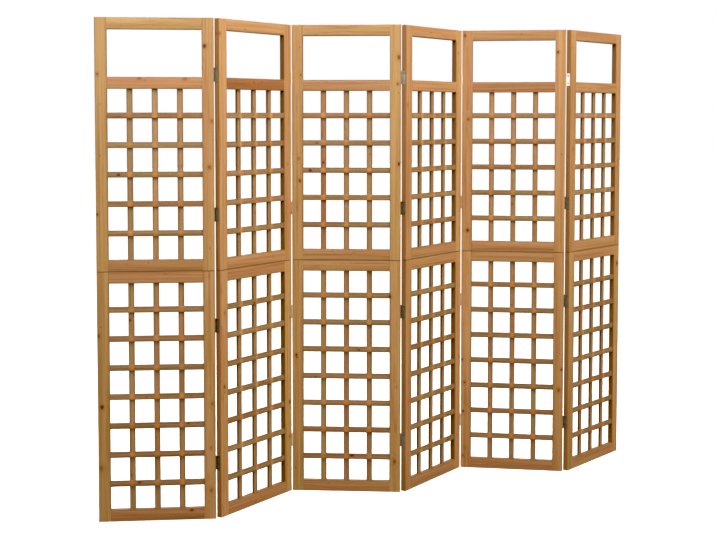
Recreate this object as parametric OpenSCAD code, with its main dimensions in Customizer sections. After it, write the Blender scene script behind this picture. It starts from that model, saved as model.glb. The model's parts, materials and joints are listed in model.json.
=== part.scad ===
// Accordion folding partition: six open lattice panels, joined by steel butt hinges and standing in a
// zigzag. Each panel is an upper section standing on a lower one. Lengths are in millimetres and +Z is up.
// The folds follow each other along +X and the front faces -Y. The origin is on the floor, in the middle
// of the zigzag's bounding box.

/* [Panels] */
// Height of a panel, which is two sections of one height
panel_h = 1800; // [1640:10:2000]
// Gap at the seam where the upper section stands on the lower one
seam_gap = 0.4; // [0.2:0.1:1]
// Width of a panel
panel_w = 417; // [360:1:480]
// Thickness of the stiles and rails, front to back
frame_t = 21; // [20:1:28]
// Width of a stile
stile_w = 42; // [38:1:56]
// Height of a rail
rail_h = 42; // [36:1:50]
// Radius of the eased long edges of the stiles and rails
edge_r = 1.5; // [0.5:0.5:5]

/* [Lattice] */
// Width of a slat
slat_w = 21; // [16:1:26]
// Thickness of a slat
slat_t = 8; // [6:0.5:9]
// Radius of a slat's eased edges
slat_edge_r = 1; // [0.5:0.25:2]
// Vertical slats side by side in a section
vertical_slats = 3; // [2:1:4]
// Rows of openings in the lower section's lattice
lower_rows = 8; // [6:1:9]
// Rows of openings in the upper section's lattice, below the open window
upper_rows = 6; // [4:1:6]

/* [Wood joints] */
// How far a slat's end reaches into a stile or rail
slat_seat = 6; // [4:0.5:8]
// Length of a rail's tenon
tenon_l = 20; // [14:1:20]
// Thickness of a rail's tenon
tenon_t = 8; // [6:0.5:10]
// Step from a rail's edge to its tenon's edge
tenon_step = 7; // [5:0.5:10]
// Clearance round a tenon or a slat's end in its pocket
joint_gap = 0.1; // [0.05:0.05:0.3]
// Clearance past the end of a tenon, slat, dowel or screw in its hole
end_gap = 0.5; // [0.3:0.1:1]
// Length of the dowels across the seam between the two sections
dowel_l = 40; // [30:2:50]
// Radius of those dowels
dowel_r = 4; // [3:0.5:5]
// Clearance round a dowel or screw in its hole
bore_gap = 0.05; // [0.02:0.01:0.1]

/* [Section screws] */
// Length of the screws that pull the two sections together
section_screw_l = 60; // [54:2:70]
// Radius of a section screw's shank
section_screw_r = 2.5; // [2:0.25:3]
// Radius of a section screw's head
section_head_r = 5; // [4:0.5:6]
// Depth of a section screw's countersunk head
section_head_h = 2.8; // [2:0.2:3.4]

/* [Hinges] */
// Height of a hinge
hinge_h = 50; // [46:1:76]
// Distance from a section's end to the middle of its nearest hinge
hinge_end = 200; // [100:10:300]
// Depth of a leaf on the edge of a stile
leaf_w = 16; // [13:0.5:18]
// Thickness of a leaf
leaf_t = 1; // [0.8:0.1:1.1]
// Gap between two panels when they are in line
panel_gap = 2.4; // [2.4:0.2:3.6]
// Radius of the knuckles round the pin
knuckle_r = 2.1; // [2:0.1:2.4]
// Height of the middle knuckle
middle_knuckle_h = 18; // [12:1:24]
// Gap between one knuckle and the next
knuckle_gap = 0.3; // [0.2:0.1:0.6]
// Radius of the hinge pin
pin_r = 1.05; // [0.9:0.05:1.1]
// Radius of the pin's head
pin_head_r = 1.8; // [1.5:0.1:2]
// Height of the pin's head
pin_head_h = 0.8; // [0.5:0.1:1.2]
// Radial clearance of the pin in its knuckles
pin_gap = 0.05; // [0.03:0.01:0.08]
// Clearance of a knuckle from the wood's rounded edges and from the other leaf's plate
knuckle_clearance = 0.2; // [0.2:0.1:0.6]
// Least gap between the faces of two panels that are folded together
folded_gap = 1; // [0.6:0.2:3]

/* [Hinge screws] */
// Length of a hinge screw
hinge_screw_l = 16; // [12:1:17]
// Radius of a hinge screw's shank
hinge_screw_r = 1.4; // [1.2:0.1:1.6]
// Radius of a hinge screw's head
hinge_head_r = 2.6; // [2.4:0.1:3]
// Distance of a hinge screw above or below the middle of its hinge
hinge_screw_z = 15; // [12:0.5:18]
// Width of the cross recess in a screw's head
recess_w = 0.7; // [0.5:0.1:0.9]
// Depth of the cross recess
recess_h = 0.6; // [0.4:0.1:0.8]

/* [Zigzag] */
// Angle, in degrees, of the first panel from the line of the zigzag, towards the viewer
lead_angle = 20; // [10:0.5:40]
// Angle, in degrees, by which the fold between panels 1 and 2 is turned from flat
fold_angle_1 = 50; // [30:0.5:80]
// The same for the fold between panels 2 and 3
fold_angle_2 = 59; // [30:0.5:80]
// The same for the fold between panels 3 and 4
fold_angle_3 = 59; // [30:0.5:80]
// The same for the fold between panels 4 and 5
fold_angle_4 = 64; // [30:0.5:80]
// The same for the fold between panels 5 and 6
fold_angle_5 = 59; // [30:0.5:80]

/* [Hidden] */
$fn = 32;

STILE_COLOR = [0.78, 0.55, 0.33];
RAIL_COLOR = [0.74, 0.51, 0.30];
SLAT_COLOR = [0.80, 0.58, 0.36];
DOWEL_COLOR = [0.86, 0.72, 0.50];
STEEL_COLOR = [0.72, 0.72, 0.72];
SCREW_COLOR = [0.82, 0.80, 0.74];

LAST_PANEL = 6;
// Straight pieces in each rounded corner of a bar's outline
CORNER_STEPS = 3;

// Heights, from the floor
section_h = (panel_h - seam_gap) / 2;
upper_z = section_h + seam_gap;
cell_h = (section_h - 2 * rail_h - (lower_rows - 1) * slat_w) / lower_rows;
row_pitch = cell_h + slat_w;
lower_lattice_z = rail_h;
upper_lattice_z = upper_z + rail_h;
middle_rail_z = upper_lattice_z + upper_rows * row_pitch - slat_w;
rail_floors = [0, section_h - rail_h, upper_z, middle_rail_z, panel_h - rail_h];
hinge_heights = [hinge_end, section_h - hinge_end, upper_z + hinge_end, panel_h - hinge_end];

// Places across a panel
rail_w = panel_w - 2 * stile_w;
cell_w = (rail_w - vertical_slats * slat_w) / (vertical_slats + 1);
column_pitch = cell_w + slat_w;
// The dowels stand under the second opening from each side, and the screws under the first
dowel_x = stile_w + column_pitch + cell_w / 2;
section_screw_x = stile_w + cell_w / 2;

// Places from a panel's front face: horizontal slats in front, vertical slats behind them
middle_y = frame_t / 2;
horizontal_slat_y = middle_y - slat_t;
vertical_slat_y = middle_y;
tenon_y = middle_y - tenon_t / 2;

// A leaf's plate starts clear of the other leaf's knuckles and ends at the leaf's depth in the wood
plate_top = knuckle_r + knuckle_clearance;

// The pins stand out from the wood's faces until the knuckles clear its rounded edges, and at least so far
// that a fold shuts face to face
corner_reach = plate_top + edge_r;
corner_x = panel_gap / 2 + edge_r;
pin_out = max(folded_gap / 2, sqrt(corner_reach * corner_reach - corner_x * corner_x) - edge_r);
plate_w = leaf_w + pin_out - plate_top;

// A plan point turned by an angle about the origin
function turned(p, a) = [p[0] * cos(a) - p[1] * sin(a), p[0] * sin(a) + p[1] * cos(a)];

// Turn of panel k from the line of the zigzag; odd folds turn the next panel back, even folds forward
fold_angles = [fold_angle_1, -fold_angle_2, fold_angle_3, -fold_angle_4, fold_angle_5];
function panel_turn(k) = k == 1 ? -lead_angle : panel_turn(k - 1) + fold_angles[k - 2];

// The pins of fold k, from the front left corner of panel k: behind odd folds and before even ones
function pin_behind(k) = k % 2 == 1;
function pin_y(k) = pin_behind(k) ? frame_t + pin_out : -pin_out;

// Plan places of panel k's front left corner and of fold k's pins, with panel 1's corner at zero
function corner(k) = k == 1 ? [0, 0] : pins(k - 1) - turned([-panel_gap / 2, pin_y(k - 1)], panel_turn(k));
function pins(k) = corner(k) + turned([panel_w + panel_gap / 2, pin_y(k)], panel_turn(k));

// Outline of a bar, w by t, with its four corners rounded
function eased(w, t, r) = [
    for (c = [[w - r, t - r, 0], [r, t - r, 90], [r, r, 180], [w - r, r, 270]])
    for (i = [0:CORNER_STEPS])
    [c[0], c[1]] + r * [cos(c[2] + 90 * i / CORNER_STEPS), sin(c[2] + 90 * i / CORNER_STEPS)]
];

// Middle of the zigzag's bounding box in plan
plan = [
    for (k = [1:LAST_PANEL])
    for (p = eased(panel_w, frame_t, edge_r))
    corner(k) + turned(p, panel_turn(k))
];
plan_x = [for (p = plan) p[0]];
plan_y = [for (p = plan) p[1]];
middle = [min(plan_x) + max(plan_x), min(plan_y) + max(plan_y)] / 2;

// Stands a panel's pieces, drawn from its front left corner, in their place in the zigzag
module in_panel(k) {
    place = corner(k) - middle;
    translate([place[0], place[1], 0]) rotate([0, 0, panel_turn(k)]) children();
}

// An upright bar from its front left bottom corner
module upright_bar(w, t, h, r) {
    linear_extrude(h) polygon(eased(w, t, r));
}

// A level bar from its front left bottom corner
module level_bar(l, t, h, r) {
    rotate([90, 0, 90]) linear_extrude(l) polygon(eased(t, h, r));
}

// Left edges of the vertical slats, and floors of the horizontal slats
function slat_edges() = [for (i = [1:vertical_slats]) stile_w + i * column_pitch - slat_w];
function slat_floors() = [
    for (i = [1:lower_rows - 1]) lower_lattice_z + i * row_pitch - slat_w,
    for (i = [1:upper_rows - 1]) upper_lattice_z + i * row_pitch - slat_w
];

// Floor and height of each section's vertical slats, between the rails
function slat_runs() = [
    [lower_lattice_z, section_h - rail_h - lower_lattice_z],
    [upper_lattice_z, middle_rail_z - upper_lattice_z]
];

// The bars' ends as they stand in the stiles and rails, larger all round by a clearance
module tenons(gap, extra) {
    for (z = rail_floors) {
        translate([stile_w - tenon_l - extra, tenon_y - gap, z + tenon_step - gap])
            cube([rail_w + 2 * (tenon_l + extra), tenon_t + 2 * gap, rail_h - 2 * (tenon_step - gap)]);
    }
}

module horizontal_slat_ends(gap, extra) {
    reach = slat_seat + extra;
    for (z = slat_floors()) {
        translate([stile_w - reach, horizontal_slat_y - gap, z - gap])
            cube([rail_w + 2 * reach, slat_t + 2 * gap, slat_w + 2 * gap]);
    }
}

module vertical_slat_ends(gap, extra) {
    reach = slat_seat + extra;
    for (x = slat_edges(), run = slat_runs()) {
        translate([x - gap, vertical_slat_y - gap, run[0] - reach])
            cube([slat_w + 2 * gap, slat_t + 2 * gap, run[1] + 2 * reach]);
    }
}

// Places children at two points in the middle of the bars, x in from either side of a panel
module on_both_sides(x, z) {
    for (place = [x, panel_w - x]) translate([place, middle_y, z]) children();
}

module dowel(gap, extra) {
    l = dowel_l + 2 * extra;
    on_both_sides(dowel_x, (panel_h - l) / 2) cylinder(h = l, r = dowel_r + gap);
}

// A countersunk screw whose head is flush at z = 0; it points along +Z
module screw(l, r, head_r, head_h, gap, extra) {
    tip_h = 2 * r;
    cylinder(h = head_h, r1 = head_r + gap, r2 = r + gap);
    cylinder(h = l - tip_h + extra, r = r + gap);
    if (gap == 0) translate([0, 0, l - tip_h]) cylinder(h = tip_h, r1 = r, r2 = r / 4);
    else cylinder(h = l + extra, r = r + gap);
}

// The cross recess cut into a screw's head
module recess(head_r) {
    for (a = [0, 90]) {
        rotate([0, 0, a]) translate([-head_r * 0.6, -recess_w / 2, -recess_h])
            cube([head_r * 1.2, recess_w, 2 * recess_h]);
    }
}

module section_screw(gap, extra) {
    on_both_sides(section_screw_x, section_h - rail_h)
        screw(section_screw_l, section_screw_r, section_head_r, section_head_h, gap, extra);
}

// Places children at each hinge on the right (side = 1) or left (side = -1) edge of panel k. There the pin
// is at the origin, and the panel's wood lies towards -X and -Y
module at_hinges(k, side) {
    fold = side > 0 ? k : k - 1;
    x = side > 0 ? panel_w + panel_gap / 2 : -panel_gap / 2;
    for (z = hinge_heights) {
        translate([x, pin_y(fold), z])
            scale([side, pin_behind(fold) ? 1 : -1, 1])
            children();
    }
}

// Places children on the outer face of a leaf, at its two screws, which point into the wood
module at_hinge_screws() {
    for (z = [-hinge_screw_z, hinge_screw_z]) {
        translate([leaf_t - panel_gap / 2, -plate_top - plate_w / 2, z]) rotate([0, -90, 0]) children();
    }
}

module hinge_screw(gap, extra) {
    screw(hinge_screw_l, hinge_screw_r, hinge_head_r, leaf_t, gap, extra);
}

// Floor and height of the knuckles on each kind of leaf
middle_knuckles = [[-middle_knuckle_h / 2, middle_knuckle_h]];
outer_knuckle_z = middle_knuckle_h / 2 + knuckle_gap;
outer_knuckle_h = hinge_h / 2 - outer_knuckle_z;
outer_knuckles = [[-hinge_h / 2, outer_knuckle_h], [outer_knuckle_z, outer_knuckle_h]];

module leaf(knuckles) {
    difference() {
        union() {
            translate([-panel_gap / 2, -plate_top - plate_w, -hinge_h / 2]) cube([leaf_t, plate_w, hinge_h]);
            for (k = knuckles) {
                translate([-panel_gap / 2, -plate_top - leaf_t, k[0]])
                    cube([leaf_t, plate_top + leaf_t, k[1]]);
                translate([0, 0, k[0]]) cylinder(h = k[1], r = knuckle_r);
            }
        }
        translate([0, 0, -hinge_h]) cylinder(h = 2 * hinge_h, r = pin_r + pin_gap);
        at_hinge_screws() hinge_screw(bore_gap, end_gap);
    }
}

module hinge_pin() {
    translate([0, 0, -hinge_h / 2]) cylinder(h = hinge_h, r = pin_r);
    translate([0, 0, hinge_h / 2]) cylinder(h = pin_head_h, r = pin_head_r);
}

// Places children at the screws of all of panel k's hinges
module at_all_hinge_screws(k) {
    if (k < LAST_PANEL) at_hinges(k, 1) at_hinge_screws() children();
    if (k > 1) at_hinges(k, -1) at_hinge_screws() children();
}

// Four stiles: two in the lower section and two in the upper one
module stiles(k) {
    color(STILE_COLOR) in_panel(k) difference() {
        for (x = [0, panel_w - stile_w], z = [0, upper_z]) {
            translate([x, 0, z]) upright_bar(stile_w, frame_t, section_h, edge_r);
        }
        tenons(joint_gap, end_gap);
        horizontal_slat_ends(joint_gap, end_gap);
        at_all_hinge_screws(k) hinge_screw(bore_gap, end_gap);
    }
}

// Five rails, each with a tenon at both ends
module rails(k) {
    color(RAIL_COLOR) in_panel(k) difference() {
        union() {
            for (z = rail_floors) {
                translate([stile_w, 0, z]) level_bar(rail_w, frame_t, rail_h, edge_r);
            }
            tenons(0, 0);
        }
        vertical_slat_ends(joint_gap, end_gap);
        dowel(bore_gap, end_gap);
        section_screw(bore_gap, end_gap);
    }
}

// The vertical slats of both sections, behind the horizontal ones
module vertical_slats(k) {
    color(SLAT_COLOR) in_panel(k) for (x = slat_edges(), run = slat_runs()) {
        translate([x, vertical_slat_y, run[0] - slat_seat])
            upright_bar(slat_w, slat_t, run[1] + 2 * slat_seat, slat_edge_r);
    }
}

// The horizontal slats of both sections
module horizontal_slats(k) {
    color(SLAT_COLOR) in_panel(k) for (z = slat_floors()) {
        translate([stile_w - slat_seat, horizontal_slat_y, z])
            level_bar(rail_w + 2 * slat_seat, slat_t, slat_w, slat_edge_r);
    }
}

module dowels(k) {
    color(DOWEL_COLOR) in_panel(k) dowel(0, 0);
}

module section_screws(k) {
    color(SCREW_COLOR) in_panel(k) difference() {
        section_screw(0, 0);
        on_both_sides(section_screw_x, section_h - rail_h) recess(section_head_r);
    }
}

// The leaves with two knuckles, on the right edge of a panel
module right_leaves(k) {
    color(STEEL_COLOR) in_panel(k) at_hinges(k, 1) leaf(outer_knuckles);
}

// The leaves with one knuckle, on the left edge of a panel
module left_leaves(k) {
    color(STEEL_COLOR) in_panel(k) at_hinges(k, -1) leaf(middle_knuckles);
}

module hinge_screws(k) {
    color(SCREW_COLOR) in_panel(k) difference() {
        at_all_hinge_screws(k) hinge_screw(0, 0);
        at_all_hinge_screws(k) recess(hinge_head_r);
    }
}

// The pins of fold k, held by panel k's leaves
module hinge_pins(k) {
    color(STEEL_COLOR) in_panel(k) at_hinges(k, 1) hinge_pin();
}

stiles(1);  // panel_1_stiles
rails(1);  // panel_1_rails
vertical_slats(1);  // panel_1_vertical_slats
horizontal_slats(1);  // panel_1_horizontal_slats
dowels(1);  // panel_1_dowels
section_screws(1);  // panel_1_section_screws
right_leaves(1);  // panel_1_right_leaves
hinge_screws(1);  // panel_1_hinge_screws
hinge_pins(1);  // fold_1_pins
stiles(2);  // panel_2_stiles
rails(2);  // panel_2_rails
vertical_slats(2);  // panel_2_vertical_slats
horizontal_slats(2);  // panel_2_horizontal_slats
dowels(2);  // panel_2_dowels
section_screws(2);  // panel_2_section_screws
left_leaves(2);  // panel_2_left_leaves
right_leaves(2);  // panel_2_right_leaves
hinge_screws(2);  // panel_2_hinge_screws
hinge_pins(2);  // fold_2_pins
stiles(3);  // panel_3_stiles
rails(3);  // panel_3_rails
vertical_slats(3);  // panel_3_vertical_slats
horizontal_slats(3);  // panel_3_horizontal_slats
dowels(3);  // panel_3_dowels
section_screws(3);  // panel_3_section_screws
left_leaves(3);  // panel_3_left_leaves
right_leaves(3);  // panel_3_right_leaves
hinge_screws(3);  // panel_3_hinge_screws
hinge_pins(3);  // fold_3_pins
stiles(4);  // panel_4_stiles
rails(4);  // panel_4_rails
vertical_slats(4);  // panel_4_vertical_slats
horizontal_slats(4);  // panel_4_horizontal_slats
dowels(4);  // panel_4_dowels
section_screws(4);  // panel_4_section_screws
left_leaves(4);  // panel_4_left_leaves
right_leaves(4);  // panel_4_right_leaves
hinge_screws(4);  // panel_4_hinge_screws
hinge_pins(4);  // fold_4_pins
stiles(5);  // panel_5_stiles
rails(5);  // panel_5_rails
vertical_slats(5);  // panel_5_vertical_slats
horizontal_slats(5);  // panel_5_horizontal_slats
dowels(5);  // panel_5_dowels
section_screws(5);  // panel_5_section_screws
left_leaves(5);  // panel_5_left_leaves
right_leaves(5);  // panel_5_right_leaves
hinge_screws(5);  // panel_5_hinge_screws
hinge_pins(5);  // fold_5_pins
stiles(6);  // panel_6_stiles
rails(6);  // panel_6_rails
vertical_slats(6);  // panel_6_vertical_slats
horizontal_slats(6);  // panel_6_horizontal_slats
dowels(6);  // panel_6_dowels
section_screws(6);  // panel_6_section_screws
left_leaves(6);  // panel_6_left_leaves
hinge_screws(6);  // panel_6_hinge_screws
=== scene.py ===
import json
import math
import random

import bmesh
import bpy
from mathutils import Matrix, Vector

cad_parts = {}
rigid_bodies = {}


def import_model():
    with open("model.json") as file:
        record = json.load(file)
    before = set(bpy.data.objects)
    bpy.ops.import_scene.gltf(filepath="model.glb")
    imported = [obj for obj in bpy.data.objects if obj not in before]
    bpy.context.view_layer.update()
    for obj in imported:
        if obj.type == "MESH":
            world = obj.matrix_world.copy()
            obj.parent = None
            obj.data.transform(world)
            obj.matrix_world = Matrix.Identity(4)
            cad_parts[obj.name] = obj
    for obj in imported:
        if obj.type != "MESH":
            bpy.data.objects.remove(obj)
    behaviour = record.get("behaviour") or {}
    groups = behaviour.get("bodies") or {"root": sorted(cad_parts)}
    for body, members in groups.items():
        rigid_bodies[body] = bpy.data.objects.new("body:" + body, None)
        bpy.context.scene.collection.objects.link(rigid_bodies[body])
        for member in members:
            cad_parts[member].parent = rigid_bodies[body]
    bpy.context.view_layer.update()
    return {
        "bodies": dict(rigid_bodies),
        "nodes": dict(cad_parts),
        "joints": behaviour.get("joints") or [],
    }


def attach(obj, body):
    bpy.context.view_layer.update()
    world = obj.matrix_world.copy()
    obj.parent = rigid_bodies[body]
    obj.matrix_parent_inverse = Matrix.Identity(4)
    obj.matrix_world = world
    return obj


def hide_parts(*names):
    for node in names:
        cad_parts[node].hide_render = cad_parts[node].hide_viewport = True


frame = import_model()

# ---------------------------------------------------------------- sizes, in metres
# A panel and its bars, as the frame's solids have them
PANEL_H = 1.800
PANEL_W = 0.417
FRAME_T = 0.021
STILE_W = 0.042
RAIL_H = 0.042
SEAM = 0.0004
SLAT_W = 0.021
SLAT_T = 0.008
SLAT_SEAT = 0.006
VERTICAL_SLATS = 3
LOWER_ROWS = 8
UPPER_ROWS = 6
PANEL_GAP = 0.0024

# Rounding of the bars' long edges, and the small chamfer round their ends
EDGE_R = 0.0015
SLAT_EDGE_R = 0.001
END_CHAMFER = 0.0005
CORNER_STEPS = 4

# Hinges
HINGE_H = 0.050
HINGE_END = 0.200
LEAF_W = 0.016
LEAF_T = 0.001
KNUCKLE_R = 0.0021
MIDDLE_KNUCKLE_H = 0.018
KNUCKLE_GAP = 0.0003
KNUCKLE_CLEARANCE = 0.0002
PIN_R = 0.00105
PIN_GAP = 0.00005
PIN_HEAD_R = 0.0018
PIN_HEAD_H = 0.0008
SCREW_Z = 0.015
SCREW_HEAD_R = 0.0026
# The pins stand out from the wood's faces until the knuckles clear its rounded edges, and a leaf's plate
# starts clear of the other leaf's knuckles
PLATE_TOP = KNUCKLE_R + KNUCKLE_CLEARANCE
PIN_OUT = math.sqrt((PLATE_TOP + EDGE_R) ** 2 - (PANEL_GAP / 2 + EDGE_R) ** 2) - EDGE_R
PLATE_W = LEAF_W + PIN_OUT - PLATE_TOP

LAST_PANEL = len(frame["bodies"])

# Heights and places across a panel that follow from those sizes
SECTION_H = (PANEL_H - SEAM) / 2
UPPER_Z = SECTION_H + SEAM
CELL_H = (SECTION_H - 2 * RAIL_H - (LOWER_ROWS - 1) * SLAT_W) / LOWER_ROWS
ROW_PITCH = CELL_H + SLAT_W
UPPER_LATTICE_Z = UPPER_Z + RAIL_H
MIDDLE_RAIL_Z = UPPER_LATTICE_Z + UPPER_ROWS * ROW_PITCH - SLAT_W
TOP_RAIL_Z = PANEL_H - RAIL_H
RAIL_FLOORS = [0, SECTION_H - RAIL_H, UPPER_Z, MIDDLE_RAIL_Z, TOP_RAIL_Z]
HINGE_HEIGHTS = [HINGE_END, SECTION_H - HINGE_END, UPPER_Z + HINGE_END, PANEL_H - HINGE_END]
RAIL_W = PANEL_W - 2 * STILE_W
CELL_W = (RAIL_W - VERTICAL_SLATS * SLAT_W) / (VERTICAL_SLATS + 1)
COLUMN_PITCH = CELL_W + SLAT_W
SLAT_EDGES = [STILE_W + i * COLUMN_PITCH - SLAT_W for i in range(1, VERTICAL_SLATS + 1)]
SLAT_FLOORS = [RAIL_H + i * ROW_PITCH - SLAT_W for i in range(1, LOWER_ROWS)] + [
    UPPER_LATTICE_Z + i * ROW_PITCH - SLAT_W for i in range(1, UPPER_ROWS)
]
SLAT_RUNS = [(RAIL_H, SECTION_H - RAIL_H), (UPPER_LATTICE_Z, MIDDLE_RAIL_Z)]
# Half of a slat's width, as a share of the distance between two crossings
LAP_SHARE = SLAT_W / 2 / COLUMN_PITCH


# ---------------------------------------------------------------- panel places, from the frame's joints
def panel_places():
    """Each panel's front left corner in plan and its turn about +Z, read from the fold joints."""
    joints = {j["name"]: j for j in frame["joints"]}
    folds = [joints[f"fold_{k}"] for k in range(1, LAST_PANEL)]
    pins = [Vector(j["pos_m"][:2]) for j in folds]
    # A fold's angle at rest is what lies between it and flat, the low end of its range
    steps = [-math.radians(j["range_deg"][0]) * j["axis"][2] for j in folds]
    behind = [j["axis"][2] > 0 for j in folds]

    def pin_y(fold):
        return FRAME_T + PIN_OUT if behind[fold] else -PIN_OUT

    # The two pins on either side of panel 2 give its turn, and the rest follow
    across = pins[1] - pins[0]
    local = Vector((PANEL_W + PANEL_GAP, pin_y(1) - pin_y(0)))
    turn = math.atan2(across.y, across.x) - math.atan2(local.y, local.x)
    turns = [turn - steps[0], turn]
    for step in steps[1:]:
        turns.append(turns[-1] + step)
    places = []
    for k, turn in enumerate(turns):
        if k == 0:
            local = Vector((PANEL_W + PANEL_GAP / 2, pin_y(0), 0))
            pin = pins[0]
        else:
            local = Vector((-PANEL_GAP / 2, pin_y(k - 1), 0))
            pin = pins[k - 1]
        corner = pin.to_3d() - Matrix.Rotation(turn, 3, "Z") @ local
        places.append((corner, turn))
    return places, behind


PLACES, PIN_BEHIND = panel_places()


def in_panel(k):
    """Matrix from panel k's own frame, at its front left bottom corner, to the row frame."""
    corner, turn = PLACES[k - 1]
    return Matrix.Translation(corner) @ Matrix.Rotation(turn, 4, "Z")


# ---------------------------------------------------------------- pieces that stand for CAD nodes
# Edges that turn by more than this, in degrees, stay sharp
SHARP_TURN = 40


def finish_piece(bm, name, k, material):
    """Stands a mesh drawn in panel k's own frame in its place, as the piece for the CAD node of that name."""
    bm.transform(in_panel(k))
    mesh = bpy.data.meshes.new(name)
    bm.to_mesh(mesh)
    bm.free()
    piece = bpy.data.objects.new(name, mesh)
    bpy.context.scene.collection.objects.link(piece)
    mesh.materials.append(material)
    mesh.shade_smooth()
    mesh.set_sharp_from_angle(angle=math.radians(SHARP_TURN))
    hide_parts(name.replace("_shown", ""))
    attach(piece, f"panel_{k}")


# ---------------------------------------------------------------- wooden bars
random.seed(7)

# Axes of a bar: its length, width and depth in the panel's frame
UPRIGHT = Matrix(((0, 1, 0), (0, 0, 1), (1, 0, 0)))
LEVEL = Matrix(((1, 0, 0), (0, 0, -1), (0, 1, 0)))
KNOT_LAYERS = ("knot_a", "knot_b", "knot_c", "knot_d")
# What the points of a bar store where it has no knot, and where it crosses no other bar
NO_KNOT = Vector((9.0, 9.0, 9.0))
NO_LAP = 0.5
# Width of the darker rim along a bar's edges, stain and painted shade
RIM_W = 0.0055
# Length over which the darker rim of a bar's edge fades out where another bar meets it
RIM_FADE = 0.002
# Length over which a stile darkens with painted shade towards the seam between the two sections
SEAM_FADE = 0.0022
# Range of the distance between a bar and the heart of the tree that it was cut from
HEART_REACH = (0.03, 0.09)
# The bars' grain is taken from anywhere along this length of wood, so that no two are alike
GRAIN_LENGTH = 40
# How far a bar's tone differs, up or down, from that of its kind
TONE_SPREAD = 0.06

# The larger knots on each panel's front: place across the panel, height and radius, in millimetres
KNOTS = {
    1: [
        (385, 1700, 8), (410, 1435, 6), (400, 1270, 7), (10, 1600, 5), (5, 1105, 5), (5, 670, 7),
        (15, 415, 8), (10, 195, 8), (405, 420, 5), (400, 260, 4), (400, 105, 7), (330, 35, 7),
        (155, 1585, 6), (315, 1585, 8), (80, 1245, 6), (320, 350, 6), (145, 140, 7), (115, 165, 5),
        (115, 725, 5),
    ],
    2: [
        (5, 1745, 6), (195, 1575, 8), (25, 745, 5), (20, 475, 6), (405, 350, 6), (405, 215, 6),
        (245, 455, 6), (195, 760, 6),
    ],
    3: [
        (35, 1610, 4), (25, 1290, 5), (30, 1205, 6), (15, 530, 6), (410, 1675, 8), (405, 1575, 5),
        (410, 1270, 6), (395, 120, 7), (70, 1245, 7), (95, 1350, 5), (375, 760, 8), (230, 140, 7),
        (120, 1275, 5),
    ],
    4: [(10, 1495, 6), (410, 465, 6)],
    5: [
        (10, 1780, 8), (25, 1440, 6), (25, 985, 7), (5, 450, 5), (15, 355, 6), (10, 235, 5), (10, 50, 5),
        (400, 335, 8), (410, 420, 5), (385, 1710, 6), (205, 1095, 7),
    ],
    6: [(20, 1320, 6), (400, 820, 7)],
}
MM = 1000
# The smaller knots: how many a bar that has room for them can have, the chance of each, its range of radius,
# and how far it keeps from the bar's ends and, as a share of the bar's width, from its edges
PIN_KNOTS = 2
PIN_KNOT_CHANCE = 0.45
PIN_KNOT_R = (0.0015, 0.0035)
PIN_KNOT_END = 0.05
PIN_KNOT_EDGE = 0.2


def outline(w, t, r):
    """Rounded section of a bar as (across, deep, edge) points; edge is 1 in the middle of a rounding."""
    points = []
    for cx, cy, start in ((w - r, t - r, 0), (r, t - r, 90), (r, r, 180), (w - r, r, 270)):
        for i in range(CORNER_STEPS + 1):
            a = math.radians(start + 90 * i / CORNER_STEPS)
            edge = math.sin(math.pi * i / CORNER_STEPS)
            points.append((cx + r * math.cos(a), cy + r * math.sin(a), edge))
    return points


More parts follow.
